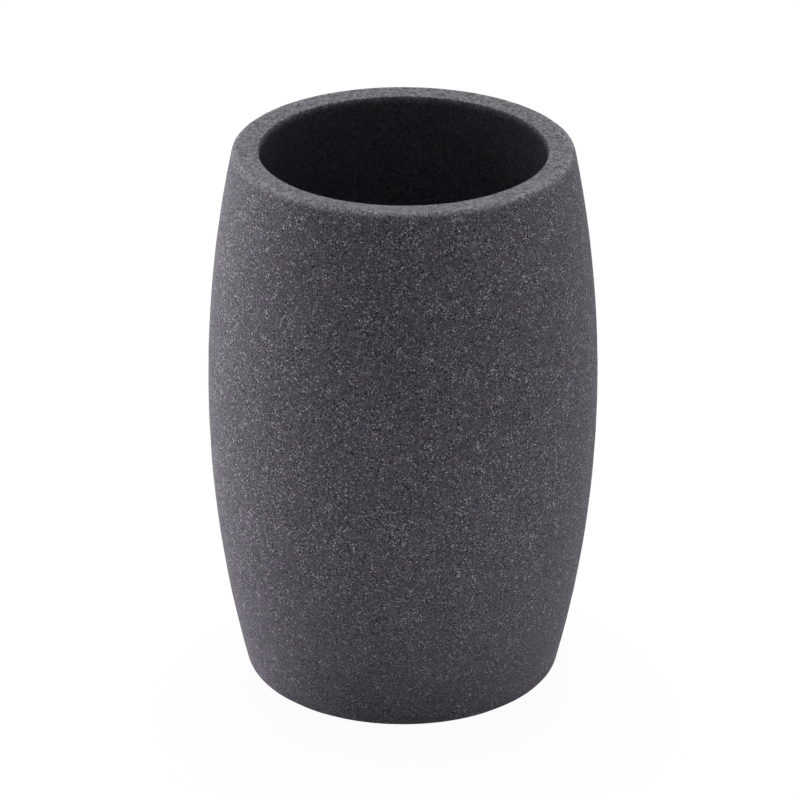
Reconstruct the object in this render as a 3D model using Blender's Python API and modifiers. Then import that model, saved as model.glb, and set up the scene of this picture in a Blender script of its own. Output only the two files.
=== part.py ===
"""A barrel-shaped toothbrush tumbler, cast in one piece from stone-filled resin, with a foam
anti-slip pad let into its underside.

Run it with blender --background --python part.py, or from Blender's text editor. Sizes are in
metres, +Z is up, and the origin is the centre of the pad's underside, which the tumbler stands on.
"""

from math import atan2, cos, pi, radians, sin, sqrt

import bpy

MM = 0.001

# The side: seen in section it is one arc from the foot to the rim, widest at the belly
BELLY_RADIUS = 37.5 * MM
SIDE_ARC_RADIUS = 240.0 * MM
BODY_HEIGHT = 107.5 * MM  # from the foot to the rim
BELLY_HEIGHT = 57.2 * MM  # above the foot

# The hollow: its side keeps an even distance from the outer one
WALL = 5.2 * MM
FLOOR = 6.0 * MM  # between the pad's seat and the inside
FLOOR_CORNER = 8.0 * MM

# The rim: its top slopes into the mouth, and cuts the rounding of its inner edge short
RIM_FALL = 0.35 * MM
RIM_OUTER_EDGE = 1.1 * MM
RIM_INNER_EDGE = 1.2 * MM
RIM_INNER_TURN = radians(45)  # from upright to the corner where the top cuts it

FOOT_EDGE = 1.3 * MM

# The pad under the foot
FOOT_RING = 3.0 * MM  # the flat ring that is left round the pad's seat
PAD_THICKNESS = 2.0 * MM
PAD_PROUD = 0.8 * MM  # how far the pad stands out below the foot
PAD_EDGE = 0.2 * MM
SEAT_GAP = 0.3 * MM  # glue over the pad, and the clearance round it

# Facets
TURN_STEPS = 72
OUTER_SIDE_STEPS = 6  # above the belly, and as many below it
INNER_SIDE_STEPS = 5
FLOOR_CORNER_STEPS = 5
EDGE_STEPS = 3
SHARP_ANGLE = radians(30)

# Heights, and the centre of the side's arc, as they follow from the sizes above
FOOT_Z = PAD_PROUD
SEAT_Z = PAD_THICKNESS + SEAT_GAP
FLOOR_Z = SEAT_Z + FLOOR
RIM_Z = FOOT_Z + BODY_HEIGHT
SIDE_CENTRE = (BELLY_RADIUS - SIDE_ARC_RADIUS, FOOT_Z + BELLY_HEIGHT)

RESIN_COLOUR = (0.089, 0.085, 0.101, 1.0)
FOAM_COLOUR = (0.016, 0.016, 0.018, 1.0)


def clear_scene():
    for item in list(bpy.data.objects):
        bpy.data.objects.remove(item, do_unlink=True)


def make_collection(name):
    collection = bpy.data.collections.new(name)
    bpy.context.scene.collection.children.link(collection)
    return collection


def make_material(name, colour, roughness):
    material = bpy.data.materials.new(name)
    material.use_nodes = True
    shader = material.node_tree.nodes["Principled BSDF"]
    shader.inputs["Base Color"].default_value = colour
    shader.inputs["Roughness"].default_value = roughness
    shader.inputs["Metallic"].default_value = 0.0
    material.diffuse_color = colour
    return material


def arc(centre, radius, start, end, steps):
    """Points on an arc in the XZ plane, with both ends; angles run from +X towards +Z."""
    angles = [start + (end - start) * step / steps for step in range(steps + 1)]
    return [(centre[0] + radius * cos(a), centre[1] + radius * sin(a)) for a in angles]


def side(radius, start, end, steps):
    """The side's arc from one angle through the belly to another, without its two ends."""
    first_half = arc(SIDE_CENTRE, radius, start, 0.0, steps)
    second_half = arc(SIDE_CENTRE, radius, 0.0, end, steps)
    return first_half[1:] + second_half[1:-1]


def on_side(radius, z):
    """The point at height z on an arc about the side's centre, and the angle it lies at."""
    rise = z - SIDE_CENTRE[1]
    run = sqrt(radius**2 - rise**2)
    return (SIDE_CENTRE[0] + run, z), atan2(rise, run)


def foot_edge():
    """The centre of the foot's rounded edge, and where that edge meets the side."""
    return on_side(SIDE_ARC_RADIUS - FOOT_EDGE, FOOT_Z + FOOT_EDGE)


def seat_radius():
    centre, _ = foot_edge()
    return centre[0] - FOOT_RING


def inside_profile():
    """From the middle of the floor, round its corner and up the wall to the rim's inner corner."""
    radius = SIDE_ARC_RADIUS - WALL
    corner, low = on_side(radius - FLOOR_CORNER, FLOOR_Z + FLOOR_CORNER)
    edge_z = RIM_Z - RIM_FALL - RIM_INNER_EDGE * sin(RIM_INNER_TURN)
    edge, high = on_side(radius + RIM_INNER_EDGE, edge_z)
    return [
        [(0.0, FLOOR_Z)],
        arc(corner, FLOOR_CORNER, -pi / 2, low, FLOOR_CORNER_STEPS),
        side(radius, low, high, INNER_SIDE_STEPS),
        arc(edge, RIM_INNER_EDGE, high + pi, pi - RIM_INNER_TURN, EDGE_STEPS),
    ]


def outside_profile():
    """From the top of the rim down the side, and under the foot to the middle of the pad's seat."""
    rim, high = on_side(SIDE_ARC_RADIUS - RIM_OUTER_EDGE, RIM_Z - RIM_OUTER_EDGE)
    foot, low = foot_edge()
    return [
        arc(rim, RIM_OUTER_EDGE, pi / 2, high, EDGE_STEPS),
        side(SIDE_ARC_RADIUS, high, low, OUTER_SIDE_STEPS),
        arc(foot, FOOT_EDGE, low, -pi / 2, EDGE_STEPS),
        [(seat_radius(), FOOT_Z), (seat_radius(), SEAT_Z), (0.0, SEAT_Z)],
    ]


def turn(name, points):
    """Turns a profile in the XZ plane, which runs down its outer side, once about the Z axis."""
    mesh = bpy.data.meshes.new(name)
    vertices = [(x, 0.0, z) for x, z in points]
    edges = [(i, i + 1) for i in range(len(points) - 1)]
    mesh.from_pydata(vertices, edges, [])
    turned = bpy.data.objects.new(name, mesh)
    bpy.context.scene.collection.objects.link(turned)

    screw = turned.modifiers.new("turn", "SCREW")
    screw.steps = TURN_STEPS
    screw.render_steps = TURN_STEPS
    screw.use_merge_vertices = True
    screw.merge_threshold = 0.01 * MM
    bpy.context.view_layer.objects.active = turned
    bpy.ops.object.modifier_apply(modifier=screw.name)
    return turned


def shade_round(item):
    item.data.shade_smooth()
    item.data.set_sharp_from_angle(angle=SHARP_ANGLE)


def place(item, collection, material):
    """Moves an object to its collection and gives it its material."""
    for other in item.users_collection:
        other.objects.unlink(item)
    collection.objects.link(item)
    item.data.materials.append(material)


def make_body(collection):
    """The cast cup, with its rounded rim and foot and the seat for the pad."""
    points = sum(inside_profile() + outside_profile(), [])
    body = turn("tumbler_body", points)
    shade_round(body)
    place(body, collection, make_material("stone_resin", RESIN_COLOUR, 0.85))


def make_pad(collection):
    """The die-cut foam disc that is glued into the seat."""
    bpy.ops.mesh.primitive_cylinder_add(
        vertices=TURN_STEPS,
        radius=seat_radius() - SEAT_GAP,
        depth=PAD_THICKNESS,
        location=(0.0, 0.0, PAD_THICKNESS / 2),
    )
    pad = bpy.context.object
    pad.name = pad.data.name = "base_pad"

    edge = pad.modifiers.new("soft edge", "BEVEL")
    edge.width = PAD_EDGE
    edge.segments = 2
    edge.limit_method = "ANGLE"
    shade_round(pad)
    place(pad, collection, make_material("black_foam", FOAM_COLOUR, 0.95))


def main():
    clear_scene()
    collection = make_collection("toothbrush_tumbler")
    make_body(collection)
    make_pad(collection)


main()
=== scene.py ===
"""A barrel-shaped toothbrush tumbler, cast in stone-filled resin, on its foam base pad.

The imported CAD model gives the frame. The cast body and the die-cut pad are modelled again here
with finer facets and their real surfaces, and stand for the CAD nodes. Sizes are in metres, +Z is
up, and the origin is the centre of the pad's underside.
"""

import math
from collections import namedtuple

import bpy
from bpy.props import FloatProperty, FloatVectorProperty, IntProperty, PointerProperty
from mathutils import Matrix, Vector


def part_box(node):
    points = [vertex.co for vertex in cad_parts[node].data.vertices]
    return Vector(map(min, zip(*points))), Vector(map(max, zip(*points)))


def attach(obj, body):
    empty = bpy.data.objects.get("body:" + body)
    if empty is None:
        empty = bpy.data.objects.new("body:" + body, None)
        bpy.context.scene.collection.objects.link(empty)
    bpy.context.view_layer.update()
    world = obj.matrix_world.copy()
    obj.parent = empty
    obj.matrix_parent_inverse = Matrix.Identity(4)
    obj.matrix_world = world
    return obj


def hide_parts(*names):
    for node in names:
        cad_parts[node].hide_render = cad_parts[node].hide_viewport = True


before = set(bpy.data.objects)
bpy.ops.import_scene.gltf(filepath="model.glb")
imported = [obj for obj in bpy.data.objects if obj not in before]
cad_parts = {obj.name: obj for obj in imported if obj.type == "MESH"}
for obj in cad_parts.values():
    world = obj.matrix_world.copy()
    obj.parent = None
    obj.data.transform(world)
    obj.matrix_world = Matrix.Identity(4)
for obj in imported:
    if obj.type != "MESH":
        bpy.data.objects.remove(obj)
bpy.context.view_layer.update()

bl_info = {
    "name": "Stone resin tumbler",
    "version": (1, 0, 0),
    "blender": (4, 5, 0),
    "location": "3D View > Sidebar > Tumbler",
    "description": "Models a cast stone-resin toothbrush tumbler on its foam pad, in a plain studio",
    "category": "Object",
}

MM = 0.001
BODY_LOW, BODY_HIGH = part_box("tumbler_body")
PAD_LOW, PAD_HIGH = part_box("base_pad")

# Spacing of the rings that a turned surface is made of, and how many of them the roundings and
# the pad's side have
RING_STEP = 1.0 * MM
EDGE_RINGS = 5
CORNER_RINGS = 12
MOUTH_RINGS = 10
PAD_SIDE_RINGS = 4

# Passes that find where the mouth's rounding meets the inner side
MEETING_PASSES = 8

# Seat, floor and pad are closed at the middle by rings of these shares of their radius
INSET_SHARES = (0.8, 0.6, 0.4, 0.2, 0.06)

# What counts as a flat face at a height
FLAT_TOLERANCE = 0.01 * MM
FLAT_FACING = 0.99

# Sharper edges than this keep a crease in the shading
SMOOTH_ANGLE = math.radians(35.0)

# Width of the waves in the cast skin, and how many finer layers they have
SKIN_WAVE = 6.0 * MM
SKIN_LAYERS = 2

# Where the zones of the skin fade, in mm: each pair runs from one end of the fade to the other
RIM_FADE = (0.3, 1.1)  # below the rim
# The outer edge is lighter: partly rubbed wear, partly a painted highlight where the rim's rounding
# catches the lamps
EDGE_FADE_IN = (0.4, 1.8)  # in from the outer side
EDGE_FADE_DOWN = (0.5, 1.5)  # below the rim
INSIDE_FADE = (0.4, 0.6)  # in from the outer side, as shares of the wall
LOW_FADE = (2.0, 54.0)  # above the table
# The foot's zone is painted lighter: painted light that offsets the shadowed floor in front of the
# foot
FOOT_FADE = (1.5, 12.0)  # above the table

# How far a grain or pit reaches through its cell, then the picks that make a cell a pit, a pale
# grain or a bright grain; pits lie below their pair of picks, and grains above theirs
Grains = namedtuple("Grains", "spread pit pale bright")
SAND_GRAINS = Grains(
    spread=(0.15, 0.75), pit=(0.22, 0.32), pale=(0.45, 0.85), bright=(0.86, 0.98)
)
CHIP_GRAINS = Grains(
    spread=(0.1, 0.6), pit=(0.12, 0.16), pale=(0.85, 0.90), bright=(0.95, 0.97)
)

# Noises in the resin: waves per mm, finer layers, and how strong each layer is
DUST_WAVES = (4.2, 1.0, 0.6)
MOTTLE_WAVES = (1.4, 1.0, 0.5)
DRIFT_WAVES = (0.15, 2.0, 0.6)
HUE_WAVES = (0.2, 3.0, 0.65)
VEIN_WAVES = (1.3, 0.0, 0.5)
CREASE_WAVES = (1.1, 0.0, 0.5)
PATCH_LAYERS = (1.0, 0.5)

# A noise wanders about this value; the pairs are where a mask made from it starts and is full
NOISE_MIDDLE = 0.5
PATCH_FADE = (0.40, 0.62)
HUE_FADE = (0.3, 0.7)
VEIN_FADE = (0.0, 0.05)
CREASE_FADE = (0.4, 0.6)

# How much each kind of grain or pit, the dust and the slow drift change the tone, and the darkest
# that all of them may make it
PALE_SAND = 1.5
BRIGHT_SAND = 5.0
PALE_CHIPS = 1.0
BRIGHT_CHIPS = 2.5
SAND_PITS = 1.2
DUST = 4.0
DRIFT = 0.36
DARKEST = 0.08

# What the rim and the inside have more or less of
# The rim's extra pits, lost light grains and calm partly stand in for how the sand's relief looks
# under face-on light from the top lamp
RIM_PITS = 0.6
RIM_GRAINS_LOST = 0.87
RIM_CALM = 0.2
RIM_MOTTLE = 2.7
# Painted light: the rim's top is painted lighter because it faces the top lamp
RIM_PAINTED_LIGHT = 0.30
RIM_CREASES = 0.65
INSIDE_MOTTLE = 2.2
INSIDE_LIGHTER = 0.08

# The resin's hue wanders between these two tints of its mean colour, and keeps nearer to the
# first by this share at the foot
VIOLET = (1.035, 0.966, 1.035)
GREEN = (0.965, 1.034, 0.965)
LOW_HUE_CALM = 0.45

# How far pale sand and the rim take on the colour of the light grains
PALE_SAND_GREY = 0.5
RIM_GREY = 0.55

# What stands up or lies deep in the resin's relief
HIGH_SAND = 0.5
HIGH_DUST = 0.6
DEEP_PITS = 0.6

# The matte resin reflects less than a smooth plastic
RESIN_SPECULAR = 0.25

# The foam's open cells: where they fade, how much they darken the foam and how deep they lie
OPEN_CELL_FADE = (0.15, 0.55)
CELL_SHADE = 0.45
CELL_DEPTH = 0.7

# The foam's skin and slow changes: waves, the least tone, and how much the noise adds to it
FOAM_SKIN_PER_CELL = 0.5
FOAM_SKIN_LAYERS = (3.0, 0.6)
FOAM_SKIN_LEAST = 0.75
FOAM_SKIN_TONE = 0.5
FOAM_SKIN_HEIGHT = 0.5
FOAM_SKIN_SHINE = 0.12
FOAM_DRIFT_WAVES = (0.15, 1.0, 0.5)
FOAM_DRIFT_LEAST = 0.85
FOAM_DRIFT_TONE = 0.3
FOAM_LIGHTER = 1.4

# The camera sees the floor as plain white. Near the foot that is only this share of it, and the
# rest is the lit floor with the tumbler's shadow
FLOOR_SIZE = 6.0
NEAR_WHITE = 0.96
WHITE_FADE = (0.05, 0.15)  # distance from the middle of the floor, in metres
WHITE = (1.0, 1.0, 1.0, 1.0)

# How the camera is turned: down, to the side, and about its own axis
CAMERA_PITCH = math.radians(25.54)
CAMERA_YAW = math.radians(-0.046)
CAMERA_ROLL = math.radians(0.125)
CAMERA_SENSOR = 36.0  # width in mm
CAMERA_NEAR = 0.05  # nothing nearer than this is drawn, in metres

# Soft lamps: azimuth and elevation in degrees as seen from the tumbler, two sides in metres and
# power in watts
LAMP_DISTANCE = 0.8
Lamp = namedtuple("Lamp", "name azimuth elevation sides power")
LAMPS = (
    Lamp("top_softbox", 180.0, 76.0, (0.45, 0.45), 7.9),
    Lamp("left_softbox", -112.0, 0.4, (0.5, 0.11), 5.4),
    Lamp("high_left_softbox", -100.0, 30.0, (0.4, 0.3), 0.35),
    Lamp("right_softbox", 90.0, 0.4, (0.4, 0.11), 1.2),
)


def length(name, description, default):
    return FloatProperty(
        name=name, description=description, default=default, min=0.0, precision=5,
        subtype="DISTANCE", unit="LENGTH",
    )


def share(name, description, default, top=1.0):
    return FloatProperty(
        name=name, description=description, default=default, min=0.0, max=top, subtype="FACTOR"
    )


def angle(name, description, degrees):
    return FloatProperty(
        name=name, description=description, default=math.radians(degrees), subtype="ANGLE",
        unit="ROTATION",
    )


def colour(name, description, default):
    return FloatVectorProperty(
        name=name, description=description, default=default, size=3, min=0.0, max=1.0,
        subtype="COLOR",
    )


class BodySizes(bpy.types.PropertyGroup):
    """Sizes of the cast body.

    They are the CAD part's own, but for a wall that is 0.1 mm thicker and an oval rounding of the
    mouth, which keeps the CAD part's narrowest place.
    """

    belly_radius: length("Belly radius", "Widest radius of the side", (BODY_HIGH.x - BODY_LOW.x) / 2)
    side_arc: length("Side arc", "Radius of the arc that the side bulges along", 240.0 * MM)
    belly_height: length("Belly height", "Height of the widest place above the table", 58.0 * MM)
    foot_height: length("Foot height", "Height of the foot ring above the table", BODY_LOW.z)
    rim_height: length("Rim height", "Height of the rim above the table", BODY_HIGH.z)
    wall: length("Wall", "Thickness of the wall", 5.3 * MM)
    floor_height: length("Floor height", "Height of the inside floor above the table", 8.3 * MM)
    floor_corner: length("Floor corner", "Radius between the inside wall and floor", 8.0 * MM)
    rim_outer_edge: length("Rim outer edge", "Rounding of the rim's outer edge", 1.1 * MM)
    rim_fall: length("Rim fall", "How far the rim's top slopes down into the mouth", 0.35 * MM)
    mouth_width: length("Mouth width", "Half the width of the oval that rounds the mouth", 0.5 * MM)
    mouth_depth: length("Mouth depth", "Half the height of the oval that rounds the mouth", 1.3 * MM)
    mouth_turn: angle("Mouth turn", "Where on that oval the rim's top cuts it", 62.0)
    foot_edge: length("Foot edge", "Rounding of the foot's outer edge", 1.3 * MM)
    foot_ring: length("Foot ring", "Width of the flat ring round the pad's seat", 3.0 * MM)
    seat_height: length("Seat height", "Height of the pad's seat above the table", 2.3 * MM)
    unevenness: length("Unevenness", "How far the cast skin wanders in or out", 0.05 * MM)
    segments: IntProperty(name="Segments", description="Facets round the body", default=256, min=24)


class PadSizes(bpy.types.PropertyGroup):
    """Sizes of the foam pad, which are the CAD part's own."""

    radius: length("Radius", "Radius of the die-cut disc", (PAD_HIGH.x - PAD_LOW.x) / 2)
    thickness: length("Thickness", "Thickness of the foam", PAD_HIGH.z)
    soft_edge: length("Soft edge", "Rounding that the die leaves", 0.2 * MM)
    segments: IntProperty(name="Segments", description="Facets round the pad", default=192, min=24)


class ResinFinish(bpy.types.PropertyGroup):
    """Colour and grain of the stone-filled resin."""

    base: colour("Resin", "Mean colour of the cast resin", (0.0862, 0.0792, 0.0989))
    grain: colour("Light grains", "Colour of the resin at its light grains", (0.083, 0.082, 0.086))
    sand: length("Sand", "Width of the fine sand grains", 0.24 * MM)
    chips: length("Chips", "Width of the larger grains", 0.38 * MM)
    contrast: share("Contrast", "How far grains and pits differ from the resin", 1.35, 3.0)
    patches: length("Patches", "Width of the places with more resin and less sand", 2.0 * MM)
    calm: share("Calm", "How much of the contrast those places lose", 0.55)
    inside_calm: share("Inside calm", "How much of the contrast the inside loses", 0.68)
    # Painted shading: the grain's contrast drops towards the foot to stand in for the softer
    # floor-bounced light there
    low_calm: share("Low calm", "How much of the contrast is lost down to the foot", 0.37)
    # Partly rubbed wear, partly a painted highlight on the rim's rounded outer edge
    edge_wear_and_painted_highlight: share("Edge wear", "How much lighter the rim's outer edge is rubbed", 0.27)
    # Painted light: the foot's edge is lifted to offset the shade from the shadowed floor in front
    # of it
    foot_painted_light: share("Foot wear", "How much lighter the foot's edge is rubbed", 0.18)
    roughness: share("Roughness", "Roughness of the cast skin", 0.82)
    relief: length("Relief", "Depth of the sand in the skin", 0.05 * MM)


class FoamFinish(bpy.types.PropertyGroup):
    """Colour and cells of the foam."""

    base: colour("Foam", "Colour of the foam", (0.016, 0.016, 0.018))
    cell: length("Cells", "Width of the foam's cells", 0.22 * MM)
    roughness: share("Roughness", "Roughness of the foam", 0.92)
    relief: length("Relief", "Depth of the open cells", 0.06 * MM)


class Studio(bpy.types.PropertyGroup):
    """The floor, the even light, and the camera's lens and place."""

    floor: colour("Floor", "Colour of the floor", (0.90, 0.90, 0.90))
    sky: FloatProperty(name="Sky", description="Strength of the even light", default=0.134, min=0.0)
    lens: FloatProperty(name="Lens", description="Focal length in mm", default=180.0, min=1.0)
    distance: length("Distance", "From the camera to the middle of the tumbler", 774.2 * MM)
    elevation: angle("Elevation", "Height of the camera as an angle", 25.62)


class TumblerSettings(bpy.types.PropertyGroup):
    """All that a user of the tumbler would change."""

    body: PointerProperty(type=BodySizes)
    pad: PointerProperty(type=PadSizes)
    resin: PointerProperty(type=ResinFinish)
    foam: PointerProperty(type=FoamFinish)
    studio: PointerProperty(type=Studio)


class Value:
    """An output of a node; plus, minus and times work on one that carries a number."""

    def __init__(self, recipe, socket):
        self.recipe = recipe
        self.socket = socket

    def reckon(self, operation, first, second):
        return self.recipe.add("ShaderNodeMath", {"operation": operation}, {0: first, 1: second})

    def other(self, output):
        """Another output of the same node."""
        return Value(self.recipe, self.recipe.find(self.socket.node.outputs, output))

    def __add__(self, other):
        return self.reckon("ADD", self, other)

    def __radd__(self, other):
        return self.reckon("ADD", other, self)

    def __sub__(self, other):
        return self.reckon("SUBTRACT", self, other)

    def __rsub__(self, other):
        return self.reckon("SUBTRACT", other, self)

    def __mul__(self, other):
        return self.reckon("MULTIPLY", self, other)

    def __rmul__(self, other):
        return self.reckon("MULTIPLY", other, self)

    def size(self):
        """How far the number is from 0, either way."""
        return self.reckon("ABSOLUTE", self, 0.0)

    def larger(self, other):
        return self.reckon("MAXIMUM", self, other)

    def between(self, low, high):
        """0 below low, 1 above high, and a soft step between them."""
        inputs = {"Value": self, "From Min": low, "From Max": high, "To Min": 0.0, "To Max": 1.0}
        settings = {"interpolation_type": "SMOOTHSTEP"}
        return self.recipe.add("ShaderNodeMapRange", settings, inputs)


class Recipe:
    """The nodes of one material or world."""

    def __init__(self, tree):
        self.tree = tree
        tree.nodes.clear()

    def find(self, sockets, key):
        if isinstance(key, int):
            return sockets[key]
        for socket in sockets:
            if socket.identifier == key:
                return socket
        return sockets[key]

    def add(self, kind, settings=None, inputs=None, output=0):
        """Adds a node, sets it up, then fills its sockets; gives back one of its outputs."""
        node = self.tree.nodes.new(kind)
        for name, value in (settings or {}).items():
            setattr(node, name, value)
        for key, value in (inputs or {}).items():
            socket = self.find(node.inputs, key)
            if isinstance(value, Value):
                self.tree.links.new(value.socket, socket)
            else:
                socket.default_value = value
        if not node.outputs:
            return None
        return Value(self, self.find(node.outputs, output))

    def noise(self, place, per_mm, detail, roughness):
        inputs = {"Vector": place, "Scale": per_mm, "Detail": detail, "Roughness": roughness}
        return self.add("ShaderNodeTexNoise", {"noise_dimensions": "3D"}, inputs, "Fac")

    def cells(self, place, per_mm, output):
        settings = {"voronoi_dimensions": "3D", "feature": "F1"}
        inputs = {"Vector": place, "Scale": per_mm, "Randomness": 1.0}
        return self.add("ShaderNodeTexVoronoi", settings, inputs, output)

    def blend(self, how_much, first, second):
        inputs = {"Factor_Float": how_much, "A_Color": first, "B_Color": second}
        return self.add("ShaderNodeMix", {"data_type": "RGBA"}, inputs, "Result_Color")

    def scale(self, colour, how_much):
        """A colour times a number."""
        inputs = {"Vector": colour, "Scale": how_much}
        return self.add("ShaderNodeVectorMath", {"operation": "SCALE"}, inputs)

    def relief(self, height, depth):
        """A normal for a skin that stands out by depth where height is 1."""
        inputs = {"Strength": 1.0, "Distance": depth, "Height": height}
        return self.add("ShaderNodeBump", inputs=inputs)

    def object_mm(self):
        """Object coordinates in mm."""
        place = self.add("ShaderNodeTexCoord", output="Object")
        return self.add("ShaderNodeMapping", inputs={"Vector": place, "Scale": (1 / MM,) * 3})

    def seen_directly(self):
        """1 for rays from the camera and for reflected or refracted ones, 0 for those that light."""
        path = "ShaderNodeLightPath"
        seen = self.add(path, output="Is Camera Ray").larger(self.add(path, output="Is Glossy Ray"))
        return seen.larger(self.add(path, output="Is Transmission Ray"))


def new_material(name):
    material = bpy.data.materials.new(name)
    material.use_nodes = True
    return material, Recipe(material.node_tree)


def opaque(rgb):
    return (rgb[0], rgb[1], rgb[2], 1.0)


def tinted(rgb, levels):
    """A colour with each of its parts times its own level."""
    return opaque([part * level for part, level in zip(rgb, levels)])


def scatter(recipe, place, width, grains):
    """Masks of the pits, pale grains and bright grains among cells of this width.

    Each mask is strongest at the middle of its cell and gone at the far end of the spread.
    """
    distance = recipe.cells(place, MM / width, "Distance")
    cell_colour = {"Color": distance.other("Color")}
    pick = recipe.add("ShaderNodeSeparateColor", inputs=cell_colour, output="Red")
    spot = 1.0 - distance.between(*grains.spread)
    pits = spot * (1.0 - pick.between(*grains.pit))
    return pits, spot * pick.between(*grains.pale), spot * pick.between(*grains.bright)


def zones(recipe, place, sizes):
    """Masks of the rim's top, its outer edge, which is rubbed and has a painted highlight, the
    inside, the lower body and the foot, which has painted light.

    The place that they are worked out from is in mm.
    """
    flatten = {0: place, 1: (1.0, 1.0, 0.0)}
    level = recipe.add("ShaderNodeVectorMath", {"operation": "MULTIPLY"}, flatten)
    radius = recipe.add("ShaderNodeVectorMath", {"operation": "LENGTH"}, {0: level}, "Value")
    height = recipe.add("ShaderNodeSeparateXYZ", inputs={"Vector": place}, output="Z")
    rise = height - sizes.belly_height / MM
    side = sizes.belly_radius / MM - rise * rise * (MM / (2.0 * sizes.side_arc))
    depth = side - radius
    below_rim = sizes.rim_height / MM - height
    wall = sizes.wall / MM
    rim = 1.0 - below_rim.between(*RIM_FADE)
    # The outer edge's mask carries rubbed wear and a painted highlight
    edge = (1.0 - depth.between(*EDGE_FADE_IN)) * (1.0 - below_rim.between(*EDGE_FADE_DOWN))
    inside = depth.between(INSIDE_FADE[0] * wall, INSIDE_FADE[1] * wall) * (1.0 - rim)
    low = 1.0 - height.between(*LOW_FADE)
    # The foot's mask carries painted light at the foot's edge
    foot = 1.0 - height.between(*FOOT_FADE)
    return rim, edge, inside, low, foot


def make_resin(finish, sizes):
    """Dark resin filled with fine sand, matte from the mould, with light grains and small pits.

    The rim has few light grains, more pits and calmer grain, which partly stand in for how
    the sand's relief looks where the top lamp lights it face-on; its top is painted lighter,
    as painted light from that lamp. The inside has calmer grain, and so has the lower body,
    where the calmer grain is painted shading for the softer light from the floor.
    """
    material, recipe = new_material("sandy_resin")
    mm = recipe.object_mm()
    rim, edge, inside, low, foot = zones(recipe, mm, sizes)

    sand_pits, pale_sand, bright_sand = scatter(recipe, mm, finish.sand, SAND_GRAINS)
    chip_pits, pale_chips, bright_chips = scatter(recipe, mm, finish.chips, CHIP_GRAINS)
    dust = recipe.noise(mm, *DUST_WAVES) - NOISE_MIDDLE
    mottle = recipe.noise(mm, *MOTTLE_WAVES) - NOISE_MIDDLE
    patch = recipe.noise(mm, MM / finish.patches, *PATCH_LAYERS).between(*PATCH_FADE)
    drift = recipe.noise(mm, *DRIFT_WAVES) - NOISE_MIDDLE
    hue = recipe.noise(mm, *HUE_WAVES).between(*HUE_FADE)
    vein = (recipe.noise(mm, *VEIN_WAVES) - NOISE_MIDDLE).size()
    crease = (1.0 - vein.between(*VEIN_FADE)) * recipe.noise(mm, *CREASE_WAVES).between(*CREASE_FADE)

    light_sand = PALE_SAND * pale_sand + BRIGHT_SAND * bright_sand
    light_chips = PALE_CHIPS * pale_chips + BRIGHT_CHIPS * bright_chips
    pits = SAND_PITS * sand_pits + (1.0 + RIM_PITS * rim) * chip_pits
    speckle = (1.0 - RIM_GRAINS_LOST * rim) * (light_sand + light_chips) - pits + DUST * dust
    contrast = finish.contrast * (1.0 - finish.calm * patch) * (1.0 - RIM_CALM * rim)
    # The drop in contrast towards the foot is painted shading for the softer light from the floor
    contrast = contrast * (1.0 - finish.inside_calm * inside) * (1.0 - finish.low_calm * low)
    blotches = (RIM_MOTTLE * rim + INSIDE_MOTTLE * inside) * mottle
    # The rim's lighter tone here is painted light from the top lamp
    tone = 1.0 + RIM_PAINTED_LIGHT * rim + INSIDE_LIGHTER * inside + contrast * speckle
    tone = tone + blotches - RIM_CREASES * rim * crease
    # The rim's outer edge is lighter from rubbed wear and a painted highlight; the foot's edge is
    # lighter as painted light
    wear_and_painted_light = 1.0 + finish.edge_wear_and_painted_highlight * edge + finish.foot_painted_light * foot
    tone = tone.larger(DARKEST) * (1.0 + DRIFT * drift) * wear_and_painted_light

    resin = recipe.blend(
        hue * (1.0 - LOW_HUE_CALM * low), tinted(finish.base, VIOLET), tinted(finish.base, GREEN)
    )
    grey = (PALE_SAND_GREY * pale_sand).larger(bright_sand).larger(bright_chips)
    resin = recipe.blend(grey.larger(RIM_GREY * rim), resin, opaque(finish.grain))

    height = HIGH_SAND * bright_sand + HIGH_DUST * dust
    height = height - DEEP_PITS * sand_pits - DEEP_PITS * chip_pits
    shader = recipe.add(
        "ShaderNodeBsdfPrincipled",
        inputs={
            "Base Color": recipe.scale(resin, tone),
            "Roughness": finish.roughness,
            "Specular IOR Level": RESIN_SPECULAR,
            "Normal": recipe.relief(height, finish.relief),
        },
    )
    recipe.add("ShaderNodeOutputMaterial", inputs={"Surface": shader})
    material.diffuse_color = opaque(finish.base)
    return material


def make_foam(finish):
    """Black closed-cell foam, with the cells that the die opened."""
    material, recipe = new_material("cut_foam")
    mm = recipe.object_mm()
    cells_per_mm = MM / finish.cell
    open_cell = 1.0 - recipe.cells(mm, cells_per_mm, "Distance").between(*OPEN_CELL_FADE)
    skin = recipe.noise(mm, FOAM_SKIN_PER_CELL * cells_per_mm, *FOAM_SKIN_LAYERS)
    drift = recipe.noise(mm, *FOAM_DRIFT_WAVES)
    tone = (FOAM_SKIN_LEAST + FOAM_SKIN_TONE * skin) * (1.0 - CELL_SHADE * open_cell)
    tone = tone * (FOAM_DRIFT_LEAST + FOAM_DRIFT_TONE * drift)
    height = FOAM_SKIN_HEIGHT * skin - CELL_DEPTH * open_cell
    shader = recipe.add(
        "ShaderNodeBsdfPrincipled",
        inputs={
            "Base Color": recipe.scale(tuple(finish.base), FOAM_LIGHTER * tone),
            "Roughness": finish.roughness - FOAM_SKIN_SHINE * skin,
            "Normal": recipe.relief(height, finish.relief),
        },
    )
    recipe.add("ShaderNodeOutputMaterial", inputs={"Surface": shader})
    material.diffuse_color = opaque(finish.base)
    return material


def arc(centre, radius, start, end, steps):
    """Points (radius, height) along an arc, without its first point."""
    angles = [start + (end - start) * step / steps for step in range(1, steps + 1)]
    return [(centre[0] + radius * math.cos(a), centre[1] + radius * math.sin(a)) for a in angles]


def even_arc(centre, radius, start, end):
    steps = max(1, math.ceil(abs(end - start) * radius / RING_STEP))
    return arc(centre, radius, start, end, steps)


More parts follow.
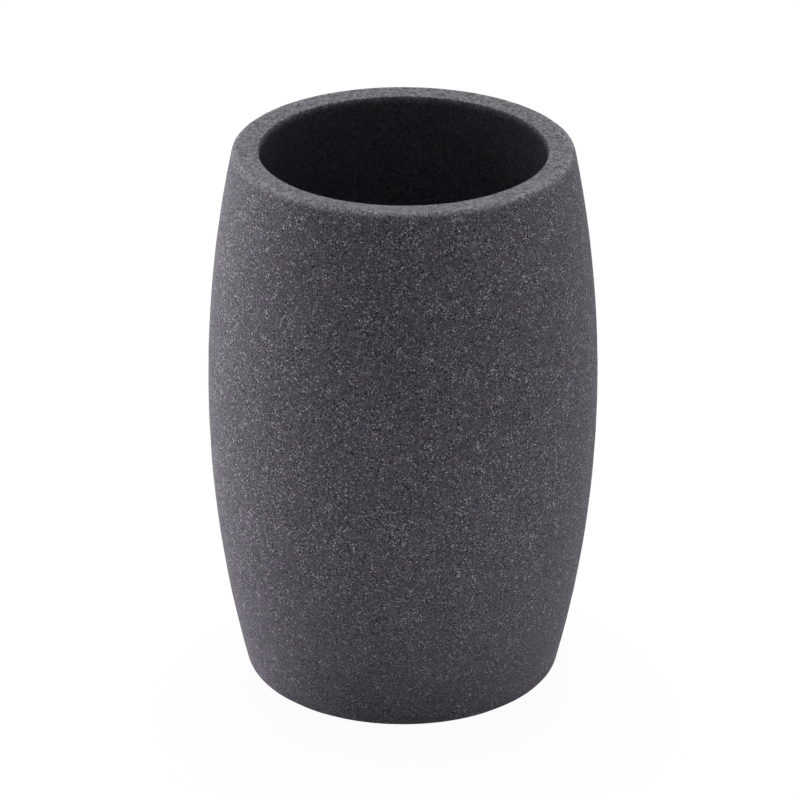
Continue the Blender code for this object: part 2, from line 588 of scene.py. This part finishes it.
def straight(start, end):
    """Points along a straight line, without its first point."""
    steps = max(1, math.ceil(math.dist(start, end) / RING_STEP))
    shares = [step / steps for step in range(1, steps + 1)]
    return [tuple(a + (b - a) * part for a, b in zip(start, end)) for part in shares]


def on_side(centre, radius, height):
    """The point at this height on an arc about the side's centre, and the angle it lies at."""
    rise = height - centre[1]
    run = math.sqrt(radius**2 - rise**2)
    return (centre[0] + run, height), math.atan2(rise, run)


def mouth_edge(sizes, side_centre, inner_arc):
    """Down an oval rounding, from the corner where the rim's top cuts it to the inner side.

    The second value is the angle of the inner side's arc where the two meet.
    """
    width, depth = sizes.mouth_width, sizes.mouth_depth
    top = sizes.rim_height - sizes.rim_fall
    middle_height = top - depth * math.sin(sizes.mouth_turn)
    low = 0.0
    for _ in range(MEETING_PASSES):
        meeting, lean = on_side(side_centre, inner_arc, middle_height + depth * math.sin(low))
        low = -math.atan(math.tan(lean) * depth / width)
    middle_radius = meeting[0] + width * math.cos(low)
    sweep = low - sizes.mouth_turn
    points = []
    for step in range(MOUTH_RINGS + 1):
        turn = sizes.mouth_turn + sweep * step / MOUTH_RINGS
        radius = middle_radius - width * math.cos(turn)
        points.append((radius, middle_height + depth * math.sin(turn)))
    return points, lean


def body_section(sizes):
    """The section from the foot's flat ring up the outside, over the rim and down to the floor."""
    centre = (sizes.belly_radius - sizes.side_arc, sizes.belly_height)
    inner_arc = sizes.side_arc - sizes.wall
    foot, foot_low = on_side(
        centre, sizes.side_arc - sizes.foot_edge, sizes.foot_height + sizes.foot_edge
    )
    lip, lip_high = on_side(
        centre, sizes.side_arc - sizes.rim_outer_edge, sizes.rim_height - sizes.rim_outer_edge
    )
    mouth, mouth_high = mouth_edge(sizes, centre, inner_arc)
    corner, corner_low = on_side(
        centre, inner_arc - sizes.floor_corner, sizes.floor_height + sizes.floor_corner
    )
    section = [(foot[0], sizes.foot_height)]
    section += arc(foot, sizes.foot_edge, -math.pi / 2, foot_low, EDGE_RINGS)
    section += even_arc(centre, sizes.side_arc, foot_low, 0.0)
    section += even_arc(centre, sizes.side_arc, 0.0, lip_high)
    section += arc(lip, sizes.rim_outer_edge, lip_high, math.pi / 2, EDGE_RINGS)
    section += straight((lip[0], sizes.rim_height), mouth[0])
    section += mouth[1:]
    section += even_arc(centre, inner_arc, mouth_high, 0.0)
    section += even_arc(centre, inner_arc, 0.0, corner_low)
    section += arc(corner, sizes.floor_corner, corner_low, -math.pi / 2, CORNER_RINGS)
    return section


def add_disc(name, radius, height, segments):
    """A flat disc about the Z axis, alone selected, and in edit mode with all of it selected."""
    bpy.ops.object.select_all(action="DESELECT")
    bpy.ops.mesh.primitive_circle_add(
        vertices=segments, radius=radius, fill_type="NGON", location=(0.0, 0.0, height)
    )
    disc = bpy.context.object
    disc.name = disc.data.name = name
    bpy.ops.object.transform_apply(location=True, rotation=True, scale=True)
    bpy.ops.object.mode_set(mode="EDIT")
    bpy.ops.mesh.select_mode(type="FACE")
    bpy.ops.mesh.select_all(action="SELECT")
    return disc


def draw_on(section):
    """Extrudes the selected disc ring by ring through the points of a section."""
    for (radius, height), (next_radius, next_height) in zip(section, section[1:]):
        rise = (0.0, 0.0, next_height - height)
        bpy.ops.mesh.extrude_region_move(TRANSFORM_OT_translate={"value": rise})
        ratio = next_radius / radius
        bpy.ops.transform.resize(
            value=(ratio, ratio, 1.0), center_override=(0.0, 0.0, next_height)
        )


def close_middle(radius, height):
    """Rings the selected disc towards its middle, and brings the last ring together there."""
    rings = [(radius, height)] + [(radius * part, height) for part in INSET_SHARES]
    draw_on(rings)
    bpy.ops.mesh.merge(type="CENTER")


def select_flat(item, height, facing):
    """Selects only the faces that lie flat at this height and face this way along Z."""
    bpy.ops.mesh.select_all(action="DESELECT")
    bpy.ops.object.mode_set(mode="OBJECT")
    for face in item.data.polygons:
        at_height = abs(face.center.z - height) < FLAT_TOLERANCE
        face.select = at_height and face.normal.z * facing > FLAT_FACING
    bpy.ops.object.mode_set(mode="EDIT")


def finish_piece(item, material):
    bpy.ops.object.mode_set(mode="OBJECT")
    item.data.materials.clear()
    item.data.materials.append(material)
    bpy.ops.object.select_all(action="DESELECT")
    item.select_set(True)
    bpy.context.view_layer.objects.active = item


def make_body(sizes, finish):
    section = body_section(sizes)
    body = add_disc("stone_resin_tumbler", section[0][0], section[0][1], sizes.segments)
    draw_on(section)
    close_middle(section[-1][0], section[-1][1])

    select_flat(body, sizes.foot_height, -1.0)
    seat_radius = section[0][0] - sizes.foot_ring
    seat = [section[0], (seat_radius, sizes.foot_height), (seat_radius, sizes.seat_height)]
    draw_on(seat)
    close_middle(seat_radius, sizes.seat_height)

    bpy.ops.mesh.select_all(action="SELECT")
    bpy.ops.mesh.normals_make_consistent(inside=False)
    finish_piece(body, make_resin(finish, sizes))

    wander = bpy.data.textures.new("cast skin", "CLOUDS")
    wander.noise_scale = SKIN_WAVE
    wander.noise_depth = SKIN_LAYERS
    skin = body.modifiers.new("cast skin", "DISPLACE")
    skin.texture = wander
    skin.texture_coords = "LOCAL"
    skin.strength = 2.0 * sizes.unevenness
    skin.mid_level = 0.5
    bpy.ops.object.modifier_apply(modifier=skin.name)
    bpy.ops.object.shade_smooth_by_angle(angle=SMOOTH_ANGLE)
    return body


def make_pad(sizes, finish):
    edge = sizes.soft_edge
    flat_radius = sizes.radius - edge
    pad = add_disc("foam_base_pad", flat_radius, 0.0, sizes.segments)
    low = arc((flat_radius, edge), edge, -math.pi / 2, 0.0, EDGE_RINGS)
    high = arc((flat_radius, sizes.thickness - edge), edge, 0.0, math.pi / 2, EDGE_RINGS)
    ring_gap = (sizes.thickness - 2 * edge) / PAD_SIDE_RINGS
    side = [(sizes.radius, edge + ring_gap * step) for step in range(1, PAD_SIDE_RINGS + 1)]
    section = [(flat_radius, 0.0)] + low + side + high
    draw_on(section)
    close_middle(section[-1][0], sizes.thickness)
    select_flat(pad, 0.0, -1.0)
    close_middle(section[0][0], 0.0)
    bpy.ops.mesh.select_all(action="SELECT")
    bpy.ops.mesh.normals_make_consistent(inside=False)
    finish_piece(pad, make_foam(finish))
    bpy.ops.object.shade_smooth_by_angle(angle=SMOOTH_ANGLE)
    return pad


class TUMBLER_OT_cast_body(bpy.types.Operator):
    """Model the cast body with its rounded rim and foot, its hollow and the pad's seat"""

    bl_idname = "tumbler.cast_body"
    bl_label = "Cast body"

    def execute(self, context):
        settings = context.scene.tumbler
        body = make_body(settings.body, settings.resin)
        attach(body, "root")
        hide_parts("tumbler_body")
        return {"FINISHED"}


class TUMBLER_OT_cut_pad(bpy.types.Operator):
    """Model the die-cut foam pad that the body stands on"""

    bl_idname = "tumbler.cut_pad"
    bl_label = "Cut base pad"

    def execute(self, context):
        settings = context.scene.tumbler
        pad = make_pad(settings.pad, settings.foam)
        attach(pad, "root")
        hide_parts("base_pad")
        return {"FINISHED"}


def make_floor(studio):
    bpy.ops.object.select_all(action="DESELECT")
    bpy.ops.mesh.primitive_plane_add(size=FLOOR_SIZE, location=(0.0, 0.0, 0.0))
    floor = bpy.context.object
    floor.name = "studio_floor"
    material, recipe = new_material("studio_floor")
    seen = recipe.seen_directly()
    place = recipe.add("ShaderNodeTexCoord", output="Object")
    away = recipe.add("ShaderNodeVectorMath", {"operation": "LENGTH"}, {0: place}, "Value")
    whiteness = NEAR_WHITE + (1.0 - NEAR_WHITE) * away.between(*WHITE_FADE)
    lit = recipe.add("ShaderNodeBsdfDiffuse", inputs={"Color": opaque(studio.floor)})
    white = recipe.add("ShaderNodeEmission", inputs={"Color": WHITE, "Strength": 1.0})
    mixed = recipe.add("ShaderNodeMixShader", inputs={0: seen * whiteness, 1: lit, 2: white})
    recipe.add("ShaderNodeOutputMaterial", inputs={"Surface": mixed})
    floor.data.materials.append(material)


def make_sky(studio):
    world = bpy.data.worlds.new("studio_sky")
    world.use_nodes = True
    bpy.context.scene.world = world
    recipe = Recipe(world.node_tree)
    strength = studio.sky + (1.0 - studio.sky) * recipe.seen_directly()
    background = recipe.add("ShaderNodeBackground", inputs={"Color": WHITE, "Strength": strength})
    recipe.add("ShaderNodeOutputWorld", inputs={"Surface": background})


def from_middle(azimuth, elevation, distance):
    """A point at this distance from the middle of the tumbler, and the direction it lies in.

    Azimuth 0 is in front of the tumbler.
    """
    middle = Vector((0.0, 0.0, (BODY_LOW.z + BODY_HIGH.z) / 2))
    level = math.cos(elevation)
    out = Vector((math.sin(azimuth) * level, -math.cos(azimuth) * level, math.sin(elevation)))
    return middle + out * distance, out


def make_lamp(plan):
    """A soft lamp that faces the middle of the tumbler."""
    azimuth, elevation = math.radians(plan.azimuth), math.radians(plan.elevation)
    place, out = from_middle(azimuth, elevation, LAMP_DISTANCE)
    bpy.ops.object.select_all(action="DESELECT")
    bpy.ops.object.light_add(type="AREA", location=place)
    lamp = bpy.context.object
    lamp.name = plan.name
    lamp.data.shape = "RECTANGLE"
    lamp.data.size, lamp.data.size_y = plan.sides
    lamp.data.energy = plan.power
    lamp.rotation_euler = (-out).to_track_quat("-Z", "Y").to_euler()
    lamp.visible_camera = False


def make_camera(studio):
    place, _ = from_middle(0.0, studio.elevation, studio.distance)
    bpy.ops.object.select_all(action="DESELECT")
    bpy.ops.object.camera_add(location=place)
    camera = bpy.context.object
    camera.name = "photo_camera"
    camera.data.lens = studio.lens
    camera.data.sensor_width = CAMERA_SENSOR
    camera.data.clip_start = CAMERA_NEAR
    turn = Matrix.Rotation(-CAMERA_YAW, 4, "Z") @ Matrix.Rotation(math.pi / 2 - CAMERA_PITCH, 4, "X")
    camera.matrix_world = Matrix.Translation(place) @ turn @ Matrix.Rotation(CAMERA_ROLL, 4, "Z")
    bpy.context.scene.camera = camera


class TUMBLER_OT_set_studio(bpy.types.Operator):
    """Set up the pale floor, the soft lamps and the camera"""

    bl_idname = "tumbler.set_studio"
    bl_label = "Set studio"

    def execute(self, context):
        studio = context.scene.tumbler.studio
        make_floor(studio)
        make_sky(studio)
        for plan in LAMPS:
            make_lamp(plan)
        make_camera(studio)
        context.scene.view_settings.view_transform = "Standard"
        return {"FINISHED"}


class TUMBLER_PT_panel(bpy.types.Panel):
    """Lists the steps that make the tumbler and its studio"""

    bl_label = "Tumbler"
    bl_idname = "TUMBLER_PT_panel"
    bl_space_type = "VIEW_3D"
    bl_region_type = "UI"
    bl_category = "Tumbler"

    def draw(self, context):
        settings = context.scene.tumbler
        steps = (
            (TUMBLER_OT_cast_body, (settings.body, settings.resin)),
            (TUMBLER_OT_cut_pad, (settings.pad, settings.foam)),
            (TUMBLER_OT_set_studio, (settings.studio,)),
        )
        for step, groups in steps:
            box = self.layout.box()
            for group in groups:
                for name in group.__annotations__:
                    box.prop(group, name)
            box.operator(step.bl_idname)


CLASSES = (
    BodySizes,
    PadSizes,
    ResinFinish,
    FoamFinish,
    Studio,
    TumblerSettings,
    TUMBLER_OT_cast_body,
    TUMBLER_OT_cut_pad,
    TUMBLER_OT_set_studio,
    TUMBLER_PT_panel,
)


def register():
    for cls in CLASSES:
        bpy.utils.register_class(cls)
    bpy.types.Scene.tumbler = PointerProperty(type=TumblerSettings)


def unregister():
    del bpy.types.Scene.tumbler
    for cls in reversed(CLASSES):
        bpy.utils.unregister_class(cls)


def main():
    register()
    bpy.ops.tumbler.cast_body()
    bpy.ops.tumbler.cut_pad()
    bpy.ops.tumbler.set_studio()


if __name__ == "__main__":
    main()
